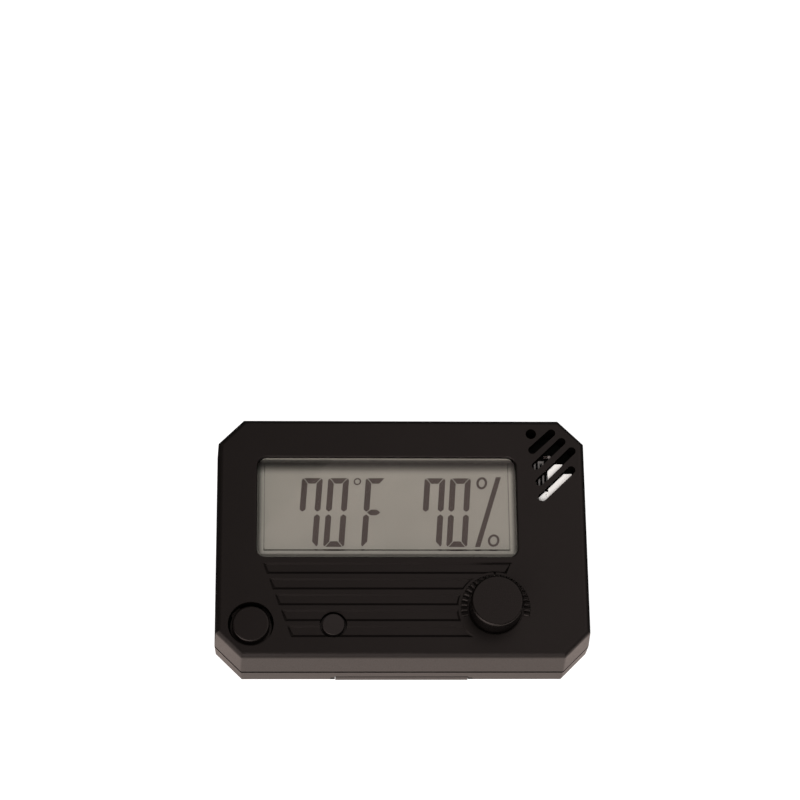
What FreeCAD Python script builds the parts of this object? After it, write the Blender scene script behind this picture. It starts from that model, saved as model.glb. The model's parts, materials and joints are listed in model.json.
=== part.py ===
import FreeCAD, Part
import math
import os

from FreeCAD import Vector

# A pocket thermometer and hygrometer with a liquid-crystal display. It lies on its back:
# X is the width, +Y runs up the face, +Z comes out of the face, and the origin is the
# middle of the flat back. All sizes are in millimetres.

# ---- Case ----
CASE_W = 76.0            # width of the front face
CASE_H = 51.5            # height of the front face
CASE_T = 15.0            # back face to front face
CORNER_LEG = 5.2         # leg of each cut corner on the front face
PARTING_Z = 5.8          # height at which the two shells meet
PARTING_GROW = 0.5       # the case is this much larger all round at the parting line
BACK_GROW = 0.4          # and this much larger at the back
WALL = 1.8               # side walls
FACE_PLATE = 2.0         # thickness of the front face
FLOOR = 1.6              # thickness of the back
FACE_EDGE_R = 1.1        # rounding between the face and the sides
BACK_EDGE_R = 0.6        # rounding between the back and the sides
UPRIGHT_EDGE_R = 0.5     # rounding of the upright corners
SEAM_GAP = 0.8           # visible groove along the parting line
SEAM_DEPTH = 0.6
LIP_TOP = 6.9            # the back shell's tongue reaches this high inside the front shell
LIP_OUT = -0.48          # outer side of the tongue, measured from the face outline
REBATE_OUT = -0.40       # the front shell's rebate around the tongue
REBATE_TOP = 7.0
FACE_UNDER = CASE_T - FACE_PLATE
INNER_GROW = PARTING_GROW - WALL      # inner side of the wall at the parting line
ABOVE = 1.0              # how far a cutting tool runs past the surface that it opens
JOIN = 0.2               # how far a post or rib runs into the wall that it grows from
LEVEL_TOLERANCE = 1e-4

# ---- Window, lens and display ----
WINDOW_X = (-29.96, 23.74)
WINDOW_Y = (-4.44, 17.48)
WINDOW_R = 2.0
WINDOW_RIM_R = 0.25
LENS_FIT = 0.08          # gap between the lens and the window
LENS_TOP = CASE_T - 0.05
LENS_LEDGE = CASE_T - 0.45            # the border around the raised middle
LENS_BORDER = (1.68, 1.80, 1.62, 1.38)    # left, right, bottom, top
LENS_STEP = 0.26         # slope of the step around the raised middle
LENS_FLANGE = 1.0        # flange behind the face
LENS_FLANGE_Z = (12.4, 12.9)
GLASS_X = (-31.3, 25.3)
GLASS_Y = (-5.6, 18.2)
GLASS_LEDGE_Y = -8.3     # the front glass carries the contacts and runs on to here
POLARIZER_INSET = 0.5
POLARIZER_Z = (12.15, 12.35)
FRONT_GLASS_Z = (11.45, 12.15)
REAR_GLASS_Z = (10.75, 11.45)
REFLECTOR_Z = (10.55, 10.75)
FRAME_X = (-32.6, 27.0)
FRAME_Y = (-9.4, 18.9)
FRAME_TOP = 12.3
FRAME_SHELF = 1.4        # width of the shelf that carries the glass
FRAME_FIT = 0.1          # gap around the glass
ZEBRA_X = (-28.0, 22.0)
ZEBRA_Y = (-7.9, -6.3)
RIB_X = (27.95, 28.8, 29.65)          # three ribs beside the display, under the vents
RIB_W = 0.36
RIB_Y = (11.0, 17.6)
RIB_FLANGE_X = 30.0
RIB_FLANGE_TOP = 9.4

# ---- Five shallow grooves under the window ----
GROOVE_COUNT = 5
GROOVE_TOP_Y = -5.7
GROOVE_PITCH = 3.37
GROOVE_H = 2.45
GROOVE_DEPTH = 0.45
GROOVE_TOP_RUN = 0.36    # the groove's upper side leans out by this much
GROOVE_LEFT_RUN = 0.5    # its left end
GROOVE_LOW_RUN = 0.6     # its lower side
GROOVE_LEFT_X = -28.55
GROOVE_LEFT_STEP = 1.25  # each groove starts this much further right
GROOVE_LEAN = 0.75       # its end leans to the right from top to bottom
GROOVE_RIGHT_X = 22.2    # only the first groove reaches past the dial
GROOVE_UNDER_KNOB_X = 17.0
GROOVE_RIGHT_LEAN = 1.0
NICK_X = (18.0, 22.3)    # a narrow slit along the top right of the first groove
NICK_W = 0.3
NICK_DEPTH = 0.55

# ---- Calibration dial ----
KNOB_X, KNOB_Y = 18.8, -15.4
KNOB_BASE_R = 5.45
KNOB_TOP_R = 5.32
KNOB_EDGE_R = 0.46
KNOB_TOP = 20.0
KNOB_WELL_R = 5.75
KNOB_WELL_DEPTH = 0.5
KNOB_LIFT = 0.15         # gap under the knob
DIAL_R = 7.6             # the grooves stop at this radius
TICK_IN, TICK_OUT = 5.85, 7.15
TICK_R = 0.3
TICK_COUNT = 22
TICK_FIRST, TICK_LAST = -14.0, 194.0  # degrees from +X
TICK_TOP = 0.3           # above the face
TICK_FOOT = 0.3          # the ticks run this far into the face
NOTCH_R = 0.2            # the notches between the ticks
NOTCH_DEPTH = 0.5
INDEX_W = 0.5            # the groove that marks the top of the dial
INDEX_DEPTH = 0.56
SHAFT_R = 2.0
SHAFT_FIT = 0.05
SHAFT_FLAT = 1.4         # distance from the axis to the flat
SHAFT_TOP = 18.6
POT_HALF = 5.0
POT_TOP = 12.2

# ---- Buttons: centre, cap, hole ----
SELECT = {"x": -30.9, "y": -18.8, "cap_r": 3.78, "hole_r": 4.65, "top": 15.2, "edge": 0.38,
          "flange_r": 4.2, "stem_r": 1.3, "switch": 5.0, "ears": (45.0, 135.0, 315.0)}
RESET = {"x": -14.2, "y": -18.9, "cap_r": 2.26, "hole_r": 2.78, "top": 15.0, "edge": 0.2,
         "flange_r": 3.3, "stem_r": 1.1, "switch": 4.2, "ears": ()}
FLANGE_Z = (12.2, 12.9)
EAR_REACH = 5.6
EAR_W = 2.4
STEM_FOOT = 11.1
SWITCH_TOP = 10.4
PLUNGER_R = 0.9
PLUNGER_FOOT = 10.0
PLUNGER_FIT = 0.05
PLUNGER_WELL = 9.35

# ---- Vents ----
VENT_HOLE = (27.1, 22.65, 1.1)
VENT_R = 0.86
VENT_SLOTS = (((27.3, 19.07), (31.36, 22.86)), ((27.95, 15.55), (33.45, 20.95)),
              ((28.62, 12.0), (35.5, 18.86)), ((29.1, 8.6), (35.3, 14.64)))

# ---- Circuit board and its parts ----
BOARD_Z = (8.0, 9.2)
BOARD_GROW = -2.1
BOARD_UNDER, BOARD_TOP = BOARD_Z
BOARD_BOSSES = ((-34.3, 5.0), (33.4, -4.0), (-6.0, 21.4), (4.0, -20.8))
BOARD_BOSS_R = 1.5
BOARD_SCREW_R = 0.75
SCREW_FIT = 0.01
CASE_BOSSES = ((-32.4, 21.5), (22.0, 21.5), (-21.6, -20.8), (32.4, -19.6))
CASE_BOSS_R = 2.4
CASE_BOSS_FOOT = 6.0
CASE_POST_R = 3.2
CASE_SCREW_R = 1.1
CASE_SCREW_HEAD_R = 2.0
CASE_SCREW_Z = (0.5, 2.1, 10.4)       # head, under the head, tip
COUNTERBORE_R = 2.3
COUNTERBORE_TOP = 2.1
SENSOR_X = (30.6, 35.6)
SENSOR_Y = (5.2, 16.9)
SENSOR_STEP = (33.7, 14.75)           # right of this x it reaches up to this y only
SENSOR_FOOT_X = 28.4
SENSOR_FOOT_TOP = 10.85
SENSOR_TOP = 12.3
SENSOR_CORNER_R = 1.6
SENSOR_PIT = (30.15, 10.2, 0.15)     # a small round hole in the foot
SENSOR_WALL = 0.7
BEAD = (31.0, 18.5, 12.2)
BEAD_R = 0.36
LEAD_R = 0.1

# ---- Battery ----
CELL_Y = -12.9
CELL_R = 10.0
CELL_CAP_R = 8.9
CELL_Z = (1.85, 4.55, 5.05)           # foot, shoulder, top
BAY_X = 11.3
BAY_Y = (-23.9, -2.6)
BAY_Z = (FLOOR, 5.2)
BAY_BLOCK_X = 15.6
BAY_BLOCK_Y = (-25.0, -1.0)
BAY_BLOCK_TOP = 6.0
DOOR_X = 13.65
DOOR_Y = (-26.24, -2.35)
DOOR_TOP = 1.45
DOOR_FIT = 0.1
DOOR_LIP_TOP = 2.15
DOOR_LIP_Y = -24.9
DOOR_TONGUE_X = 14.55
DOOR_TONGUE_Z = 0.85
DOOR_GAP = 0.3           # gap above the door's lip
GRIP_COUNT = 4           # finger grooves across the door
GRIP_PITCH = 1.6
GRIP_FIRST = 3.2         # from the door's outer end
GRIP_HALF_W = 4.5
GRIP_R = 0.35
LEAF_SLOT = ((-1.8, 1.8), (-8.2, -7.7))       # the contacts pass through the bay's ceiling
STRIP_SLOT = ((9.9, 10.45), (-15.2, -10.6))

os.makedirs("parts", exist_ok=True)


# ---- Helpers ----
def box(x, y, z):
    """A block between the pairs x, y and z."""
    corner = Vector(x[0], y[0], z[0])
    return Part.makeBox(x[1] - x[0], y[1] - y[0], z[1] - z[0], corner)


def cylinder(x, y, z, radius):
    return Part.makeCylinder(radius, z[1] - z[0], Vector(x, y, z[0]))


def cone(x, y, z, low_r, high_r):
    return Part.makeCone(low_r, high_r, z[1] - z[0], Vector(x, y, z[0]))


def polygon(points, z):
    corners = [Vector(x, y, z) for x, y in points]
    return Part.makePolygon(corners + corners[:1])


def prism(points, z):
    return Part.Face(polygon(points, z[0])).extrude(Vector(0, 0, z[1] - z[0]))


def loft(low_points, low_z, high_points, high_z):
    wires = [polygon(low_points, low_z), polygon(high_points, high_z)]
    return Part.makeLoft(wires, True, True)


def rounded_block(x, y, z, radius):
    """A block with rounded upright edges."""
    block = box(x, y, z)
    uprights = [e for e in block.Edges if abs(e.tangentAt(e.FirstParameter).z) > 0.9]
    return block.makeFillet(radius, uprights)


def slot(start, end, radius, z):
    """A block with round ends between two centres."""
    (x0, y0), (x1, y1) = start, end
    length = math.hypot(x1 - x0, y1 - y0)
    angle = math.degrees(math.atan2(y1 - y0, x1 - x0))
    bar = box((0, length), (-radius, radius), (0, z[1] - z[0]))
    for centre in (0, length):
        bar = bar.fuse(cylinder(centre, 0, (0, z[1] - z[0]), radius))
    bar = bar.removeSplitter()
    bar.rotate(Vector(0, 0, 0), Vector(0, 0, 1), angle)
    bar.translate(Vector(x0, y0, z[0]))
    return bar


def fused(first, others):
    for other in others:
        first = first.fuse(other)
    return first.removeSplitter()


def cut(body, tools):
    for tool in tools:
        body = body.cut(tool)
    return body


def level_edges(shape, z, inside=None):
    """The edges that lie at height z, and inside a rectangle if one is given."""
    found = []
    for edge in shape.Edges:
        span = edge.BoundBox
        if abs(span.ZMin - z) > LEVEL_TOLERANCE or abs(span.ZMax - z) > LEVEL_TOLERANCE:
            continue
        if inside:
            (x0, x1), (y0, y1) = inside
            if span.XMin < x0 or span.XMax > x1 or span.YMin < y0 or span.YMax > y1:
                continue
        found.append(edge)
    return found


def case_outline(grow):
    """The case's outline with cut corners, moved outwards by grow."""
    w = CASE_W / 2 + grow
    h = CASE_H / 2 + grow
    leg = CORNER_LEG + (2 - math.sqrt(2)) * grow
    return [(leg - w, -h), (w - leg, -h), (w, leg - h), (w, h - leg),
            (w - leg, h), (leg - w, h), (-w, h - leg), (-w, leg - h)]


def case_block(low_grow, low_z, high_grow, high_z):
    return loft(case_outline(low_grow), low_z, case_outline(high_grow), high_z)


def case_ring(outer_grow, inner_grow, z):
    outer = prism(case_outline(outer_grow), z)
    return outer.cut(prism(case_outline(inner_grow), (z[0] - ABOVE, z[1] + ABOVE)))


def rounded_case(low_grow, low_z, high_grow, high_z, edge_z, edge_r):
    """A case block with rounded corners, and with the edges at edge_z rounded by edge_r."""
    block = case_block(low_grow, low_z, high_grow, high_z)
    uprights = [e for e in block.Edges if e.BoundBox.ZLength > PARTING_Z / 2]
    round_corners = block.makeFillet(UPRIGHT_EDGE_R, uprights)
    round_rim = block.makeFillet(edge_r, level_edges(block, edge_z))
    return round_corners.common(round_rim)


def seam_tool():
    """The band that opens the groove along the parting line."""
    half = SEAM_GAP / 2
    return case_ring(PARTING_GROW + ABOVE, PARTING_GROW - SEAM_DEPTH,
                     (PARTING_Z - half, PARTING_Z + half))


def save(name, shape):
    shape.exportStep("parts/" + name + ".step")
    state = "ok" if shape.isValid() else "NOT VALID"
    size = shape.BoundBox
    print(f"{name:26s} {state} solids {len(shape.Solids)} volume {shape.Volume:9.3f} "
          f"x {size.XMin:.2f} {size.XMax:.2f} y {size.YMin:.2f} {size.YMax:.2f} "
          f"z {size.ZMin:.2f} {size.ZMax:.2f}")


# ---- Front shell ----
def groove_tool(row):
    """One groove: a shallow trough with leaning sides, cut short by the dial's circle."""
    top = GROOVE_TOP_Y - row * GROOVE_PITCH
    bottom = top - GROOVE_H
    left = GROOVE_LEFT_X + row * GROOVE_LEFT_STEP
    right_top = GROOVE_RIGHT_X if row == 0 else GROOVE_UNDER_KNOB_X
    right_bottom = right_top - (GROOVE_RIGHT_LEAN if row == 0 else 0.0)

    def outline(share):
        """The groove's outline: share is 0 at the face and 1 at the groove's floor."""
        upper, lower = top - GROOVE_TOP_RUN * share, bottom + GROOVE_LOW_RUN * share
        start, inset = left + GROOVE_LEFT_RUN * share, GROOVE_TOP_RUN * share
        return [(start, upper), (start + GROOVE_LEAN, lower),
                (right_bottom - inset, lower), (right_top - inset, upper)]

    overshoot = 0.1
    low_z = CASE_T - GROOVE_DEPTH
    high_z = CASE_T + overshoot
    trough = loft(outline(1), low_z, outline(-overshoot / GROOVE_DEPTH), high_z)
    lean = GROOVE_TOP_RUN / GROOVE_DEPTH
    island = cone(KNOB_X, KNOB_Y, (low_z - ABOVE, high_z + ABOVE),
                  DIAL_R + lean * (GROOVE_DEPTH + ABOVE), DIAL_R - lean * (overshoot + ABOVE))
    return trough.cut(island)


def nick_tool():
    y = (GROOVE_TOP_Y - NICK_W, GROOVE_TOP_Y)
    return box(NICK_X, y, (CASE_T - NICK_DEPTH, CASE_T + ABOVE))


def tick_angles():
    step = (TICK_LAST - TICK_FIRST) / (TICK_COUNT - 1)
    return [TICK_FIRST + step * i for i in range(TICK_COUNT)]


def turned(shape, degrees):
    """A copy turned about the knob's axis; the shape is drawn pointing along +X."""
    copy = shape.copy()
    copy.rotate(Vector(KNOB_X, KNOB_Y, 0), Vector(0, 0, 1), degrees)
    return copy


def notch_tool():
    """One notch between two ticks, pointing along +X from the dial's axis."""
    start, end = (KNOB_X + TICK_IN, KNOB_Y), (KNOB_X + TICK_OUT - NOTCH_R, KNOB_Y)
    return slot(start, end, NOTCH_R, (CASE_T - NOTCH_DEPTH, CASE_T + ABOVE))


def tick():
    """One tick: a radial bar with a round top and a round outer end."""
    axis_z = CASE_T + TICK_TOP - TICK_R
    foot_z = CASE_T - TICK_FOOT
    start = Vector(KNOB_X + TICK_IN, KNOB_Y, axis_z)
    length = TICK_OUT - TICK_R - TICK_IN
    end = start + Vector(length, 0, 0)
    bar = Part.makeCylinder(TICK_R, length, start, Vector(1, 0, 0))
    foot = box((start.x, end.x), (KNOB_Y - TICK_R, KNOB_Y + TICK_R), (foot_z, axis_z))
    return fused(bar, [foot, cylinder(end.x, end.y, (foot_z, axis_z), TICK_R),
                       Part.makeSphere(TICK_R, end)])


def boss(x, y, z, outer_r, hole_r, hole_top):
    post = cylinder(x, y, z, outer_r)
    return post.cut(cylinder(x, y, (z[0] - ABOVE, hole_top), hole_r))


def front_shell():
    shell = rounded_case(PARTING_GROW, PARTING_Z, 0, CASE_T, CASE_T, FACE_EDGE_R)
    grow_under_face = PARTING_GROW * FACE_PLATE / (CASE_T - PARTING_Z)
    inside = case_block(INNER_GROW, PARTING_Z, grow_under_face - WALL, FACE_UNDER)
    rebate = prism(case_outline(REBATE_OUT), (PARTING_Z - ABOVE, REBATE_TOP))
    shell = cut(shell, [inside, rebate, seam_tool()])

    through = (FACE_UNDER - ABOVE, CASE_T + ABOVE)
    shell = shell.cut(rounded_block(WINDOW_X, WINDOW_Y, through, WINDOW_R))
    near_window = ((WINDOW_X[0] - 0.1, WINDOW_X[1] + 0.1), (WINDOW_Y[0] - 0.1, WINDOW_Y[1] + 0.1))
    shell = shell.makeFillet(WINDOW_RIM_R, level_edges(shell, CASE_T, near_window))

    shell = cut(shell, [groove_tool(row) for row in range(GROOVE_COUNT)])
    shell = shell.cut(nick_tool())
    shell = fused(shell, [turned(tick(), angle) for angle in tick_angles()])
    half_step = (tick_angles()[1] - tick_angles()[0]) / 2
    notches = [turned(notch_tool(), angle + half_step) for angle in tick_angles()[:-1]]
    shell = cut(shell, notches)
    index_z = (CASE_T - INDEX_DEPTH, CASE_T + ABOVE)
    index = box((KNOB_X, KNOB_X + DIAL_R), (KNOB_Y - INDEX_W / 2, KNOB_Y + INDEX_W / 2), index_z)
    knob_well = cylinder(KNOB_X, KNOB_Y, (CASE_T - KNOB_WELL_DEPTH, CASE_T + ABOVE), KNOB_WELL_R)
    shaft_hole = cylinder(KNOB_X, KNOB_Y, through, SHAFT_R + SHAFT_FIT)
    shell = cut(shell, [turned(index, 90.0), knob_well, shaft_hole])

    for button in (SELECT, RESET):
        shell = shell.cut(cylinder(button["x"], button["y"], through, button["hole_r"]))
    hole_x, hole_y, hole_r = VENT_HOLE
    shell = shell.cut(cylinder(hole_x, hole_y, through, hole_r))
    shell = cut(shell, [slot(start, end, VENT_R, through) for start, end in VENT_SLOTS])

    bosses = [boss(x, y, (CASE_BOSS_FOOT, FACE_UNDER + 0.1), CASE_BOSS_R,
                   CASE_SCREW_R + SCREW_FIT, CASE_SCREW_Z[2] + 0.6) for x, y in CASE_BOSSES]
    bosses += [boss(x, y, (BOARD_TOP, FACE_UNDER + 0.1), BOARD_BOSS_R,
                    BOARD_SCREW_R + SCREW_FIT, 12.2) for x, y in BOARD_BOSSES]
    return fused(shell, bosses)


# ---- Back shell, battery bay and door ----
def rear_shell():
    shell = rounded_case(BACK_GROW, 0, PARTING_GROW, PARTING_Z, 0, BACK_EDGE_R)
    shell = cut(shell, [prism(case_outline(INNER_GROW), (FLOOR, PARTING_Z + ABOVE)), seam_tool()])
    tongue = case_ring(LIP_OUT, INNER_GROW, (PARTING_Z - JOIN, LIP_TOP))
    tongue = cut(tongue, [cylinder(x, y, (PARTING_Z, LIP_TOP + ABOVE), CASE_BOSS_R + 0.2)
                          for x, y in CASE_BOSSES])
    inside = prism(case_outline(INNER_GROW + JOIN), (0, BAY_BLOCK_TOP))
    bay = box((-BAY_BLOCK_X, BAY_BLOCK_X), BAY_BLOCK_Y, (FLOOR - JOIN, BAY_BLOCK_TOP))
    posts = [cylinder(x, y, (FLOOR - JOIN, CASE_BOSS_FOOT), CASE_POST_R) for x, y in CASE_BOSSES]
    shell = fused(shell, [tongue] + [part.common(inside) for part in [bay] + posts])

    door_y = (DOOR_Y[0] - ABOVE, DOOR_Y[1] + DOOR_FIT)
    opening = DOOR_X + DOOR_FIT
    tools = [box((-opening, opening), door_y, (-ABOVE, FLOOR)),
             box((-opening, opening), (door_y[0], DOOR_LIP_Y + DOOR_FIT),
                 (-ABOVE, DOOR_LIP_TOP + DOOR_GAP)),
             box((-DOOR_TONGUE_X - DOOR_FIT, DOOR_TONGUE_X + DOOR_FIT), door_y,
                 (DOOR_TONGUE_Z - DOOR_FIT, FLOOR)),
             box((-BAY_X, BAY_X), BAY_Y, (FLOOR - JOIN, BAY_Z[1])),
             box(*LEAF_SLOT, (BAY_Z[1] - JOIN, BAY_BLOCK_TOP + ABOVE)),
             box(*STRIP_SLOT, (BAY_Z[1] - JOIN, BAY_BLOCK_TOP + ABOVE))]
    for x, y in CASE_BOSSES:
        tools.append(cylinder(x, y, (-ABOVE, COUNTERBORE_TOP), COUNTERBORE_R))
        tools.append(cylinder(x, y, (0, CASE_BOSS_FOOT + ABOVE), CASE_SCREW_R + 0.15))
    return cut(shell, tools)


def battery_door():
    plate = box((-DOOR_X, DOOR_X), DOOR_Y, (0, DOOR_TOP))
    tongues = box((-DOOR_TONGUE_X, DOOR_TONGUE_X), (DOOR_LIP_Y, DOOR_Y[1]),
                  (DOOR_TONGUE_Z, DOOR_TOP))
    lip = box((-DOOR_X, DOOR_X), (DOOR_Y[0], DOOR_LIP_Y), (0, DOOR_LIP_TOP))
    door = fused(plate, [tongues, lip])
    outer_edges = [e for e in level_edges(door, 0) if e.BoundBox.YMax < DOOR_Y[0] + 0.01]
    door = door.makeFillet(0.3, outer_edges)
    for i in range(GRIP_COUNT):
        y = DOOR_Y[0] + GRIP_FIRST + i * GRIP_PITCH
        door = door.cut(slot((-GRIP_HALF_W, y), (GRIP_HALF_W, y), GRIP_R, (-ABOVE, GRIP_R)))
    return door


def battery_cell():
    foot, shoulder, top = CELL_Z
    can = cylinder(0, CELL_Y, (foot, shoulder), CELL_R)
    can = can.makeFillet(0.35, level_edges(can, foot))
    can = can.makeChamfer(0.3, level_edges(can, shoulder))
    cap = cylinder(0, CELL_Y, (shoulder - 0.1, top), CELL_CAP_R)
    return fused(can, [cap.makeFillet(0.2, level_edges(cap, top))])


def contact_negative():
    """A leaf on the bay's ceiling that rises through it to the board."""
    leaf = box((-1.5, 1.5), (-16.0, -7.85), (CELL_Z[2], BAY_Z[1]))
    riser = box((-1.5, 1.5), (-8.05, -7.85), (CELL_Z[2], BOARD_UNDER))
    return fused(leaf, [riser])


def contact_positive():
    """An upright strip against the side of the cell."""
    strip = box((CELL_R + 0.02, CELL_R + 0.22), (-15.0, -10.8), (2.0, BOARD_UNDER))
    foot = box((CELL_R + 0.02, BAY_X), (-15.0, -10.8), (4.9, BAY_Z[1]))
    return fused(strip, [foot])


# ---- Lens and display ----
def lens_rectangle(inset):
    """The lens's outline inside the window, moved in by inset on every side."""
    return ((WINDOW_X[0] + inset, WINDOW_X[1] - inset), (WINDOW_Y[0] + inset, WINDOW_Y[1] - inset))


def display_lens():
    flange_x, flange_y = lens_rectangle(-LENS_FLANGE)
    body_x, body_y = lens_rectangle(LENS_FIT)
    flange = rounded_block(flange_x, flange_y, LENS_FLANGE_Z, 0.6)
    body = rounded_block(body_x, body_y, (LENS_FLANGE_Z[1] - 0.1, LENS_LEDGE), WINDOW_R)
    body = body.makeFillet(0.3, level_edges(body, LENS_LEDGE))
    left, right, bottom, top = LENS_BORDER
    x0, x1 = WINDOW_X[0] + left, WINDOW_X[1] - right
    y0, y1 = WINDOW_Y[0] + bottom, WINDOW_Y[1] - top
    s = LENS_STEP
    low = [(x0 - s, y0 - s), (x1 + s, y0 - s), (x1 + s, y1 + s), (x0 - s, y1 + s)]
    high = [(x0, y0), (x1, y0), (x1, y1), (x0, y1)]
    middle = loft(low, LENS_LEDGE - 0.05, high, LENS_TOP)
    return fused(flange, [body, middle])


def lens_tape():
    outer_x, outer_y = lens_rectangle(-LENS_FLANGE)
    inner_x, inner_y = lens_rectangle(-0.1)
    z = (LENS_FLANGE_Z[1], FACE_UNDER)
    ring = rounded_block(outer_x, outer_y, z, 0.6)
    return ring.cut(rounded_block(inner_x, inner_y, (z[0] - ABOVE, z[1] + ABOVE), WINDOW_R))


def glass_sheet(y_low, z, inset=0.0):
    return box((GLASS_X[0] + inset, GLASS_X[1] - inset), (y_low + inset, GLASS_Y[1] - inset), z)


def display_frame():
    frame = box(FRAME_X, FRAME_Y, (BOARD_TOP, FRAME_TOP))
    pocket_x = (GLASS_X[0] - FRAME_FIT, GLASS_X[1] + FRAME_FIT)
    pocket_y = (GLASS_LEDGE_Y - FRAME_FIT, GLASS_Y[1] + FRAME_FIT)
    pocket = box(pocket_x, pocket_y, (REFLECTOR_Z[0], FRAME_TOP + ABOVE))
    well = box((pocket_x[0] + FRAME_SHELF, pocket_x[1] - FRAME_SHELF),
               (ZEBRA_Y[1] + 0.8, pocket_y[1] - FRAME_SHELF),
               (BOARD_TOP - ABOVE, FRAME_TOP))
    zebra_slot = box((ZEBRA_X[0] - 0.1, ZEBRA_X[1] + 0.1), (ZEBRA_Y[0] - 0.1, ZEBRA_Y[1] + 0.1),
                     (BOARD_TOP - ABOVE, FRAME_TOP))
    frame = cut(frame, [pocket, well, zebra_slot])
    flange = box((FRAME_X[1] - 0.2, RIB_FLANGE_X), RIB_Y, (BOARD_TOP, RIB_FLANGE_TOP))
    ribs = [box((x - RIB_W / 2, x + RIB_W / 2), RIB_Y, (RIB_FLANGE_TOP - 0.1, FRAME_TOP))
            for x in RIB_X]
    bridge = box((RIB_X[1] - RIB_W / 2, RIB_X[2] + RIB_W / 2), (RIB_Y[1] - 0.45, RIB_Y[1]),
                 (RIB_FLANGE_TOP - 0.1, FRAME_TOP))
    return fused(frame, [flange, bridge] + ribs)


# ---- Board, switches and sensors ----
def pin_positions():
    return [(31.8, 7.4), (34.1, 7.4)]


def circuit_board():
    board = prism(case_outline(BOARD_GROW), BOARD_Z)
    through = (BOARD_UNDER - ABOVE, BOARD_TOP + ABOVE)
    tools = [cylinder(x, y, through, CASE_BOSS_R + 0.25) for x, y in CASE_BOSSES]
    tools += [cylinder(x, y, through, BOARD_SCREW_R + 0.15) for x, y in BOARD_BOSSES]
    tools += [cylinder(x, y, through, 0.32) for x, y in pin_positions()]
    return cut(board, tools)


def surface_parts():
    """Small resistors and capacitors under the board, in two rows."""
    parts = []
    for i in range(6):
        for y in (8.0, 14.5):
            x = -4.0 + i * 3.4
            parts.append(box((x - 0.8, x + 0.8), (y - 0.4, y + 0.4),
                             (BOARD_UNDER - 0.55, BOARD_UNDER)))
    return Part.makeCompound(parts)


def chip_blob():
    """The drop of resin over the bonded chip: a shallow dome under the board."""
    height, radius = 1.3, 4.2
    sphere_r = (radius ** 2 + height ** 2) / (2 * height)
    centre = Vector(-22.0, 3.0, BOARD_UNDER - height + sphere_r)
    ball = Part.makeSphere(sphere_r, centre)
    keep = box((-30.0, -14.0), (-5.0, 11.0), (BOARD_UNDER - height - ABOVE, BOARD_UNDER))
    return ball.common(keep)


def crystal_can():
    can = Part.makeCylinder(1.0, 6.0, Vector(-22.0, 14.0, BOARD_UNDER - 1.0), Vector(1, 0, 0))
    can = can.makeFillet(0.2, can.Edges[:1])
    leads = [Part.makeCylinder(0.15, 1.2, Vector(-23.1, y, BOARD_UNDER - 0.6), Vector(1, 0, 0))
             for y in (13.65, 14.35)]
    return fused(can, leads)


def switch_body(button):
    half = button["switch"] / 2
    x, y = button["x"], button["y"]
    body = rounded_block((x - half, x + half), (y - half, y + half), (BOARD_TOP, SWITCH_TOP), 0.4)
    return body.cut(cylinder(x, y, (PLUNGER_WELL, SWITCH_TOP + ABOVE), PLUNGER_R + PLUNGER_FIT))


def plunger(button):
    return cylinder(button["x"], button["y"], (PLUNGER_FOOT, STEM_FOOT), PLUNGER_R)


def button_cap(button):
    x, y = button["x"], button["y"]
    cap = cylinder(x, y, (FLANGE_Z[1] - 0.1, button["top"]), button["cap_r"])
    cap = cap.makeFillet(button["edge"], level_edges(cap, button["top"]))
    flange = cylinder(x, y, FLANGE_Z, button["flange_r"])
    stem = cylinder(x, y, (STEM_FOOT, FLANGE_Z[0] + 0.1), button["stem_r"])
    pieces = [flange, stem]
    for angle in button["ears"]:
        ear = box((x, x + EAR_REACH), (y - EAR_W / 2, y + EAR_W / 2), FLANGE_Z)
        ear.rotate(Vector(x, y, 0), Vector(0, 0, 1), angle)
        pieces.append(ear)
    return fused(cap, pieces)


def shaft_section(z, radius, flat):
    """A round bar with one flat, on the knob's axis."""
    bar = cylinder(KNOB_X, KNOB_Y, z, radius)
    reach = radius + ABOVE
    return bar.cut(box((KNOB_X + flat, KNOB_X + reach), (KNOB_Y - reach, KNOB_Y + reach),
                       (z[0] - ABOVE, z[1] + ABOVE)))


def calibration_shaft():
    lower = cylinder(KNOB_X, KNOB_Y, (10.2, CASE_T), SHAFT_R)
    return fused(lower, [shaft_section((CASE_T - 0.1, SHAFT_TOP), SHAFT_R, SHAFT_FLAT)])


def calibration_knob():
    base = CASE_T - KNOB_WELL_DEPTH + KNOB_LIFT
    knob = cone(KNOB_X, KNOB_Y, (base, KNOB_TOP), KNOB_BASE_R, KNOB_TOP_R)
    knob = knob.makeFillet(KNOB_EDGE_R, level_edges(knob, KNOB_TOP))
    socket = shaft_section((CASE_T, SHAFT_TOP + 0.1), SHAFT_R + 0.02, SHAFT_FLAT + 0.02)
    mouth = cylinder(KNOB_X, KNOB_Y, (base - ABOVE, CASE_T + 0.1), SHAFT_R + 0.02)
    return cut(knob, [socket, mouth])


def potentiometer_body():
    x = (KNOB_X - POT_HALF, KNOB_X + POT_HALF)
    y = (KNOB_Y - POT_HALF, KNOB_Y + POT_HALF)
    body = rounded_block(x, y, (BOARD_TOP, POT_TOP), 0.8)
    bore = cylinder(KNOB_X, KNOB_Y, (10.1, POT_TOP + ABOVE), SHAFT_R + SHAFT_FIT)
    return body.cut(bore)


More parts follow.
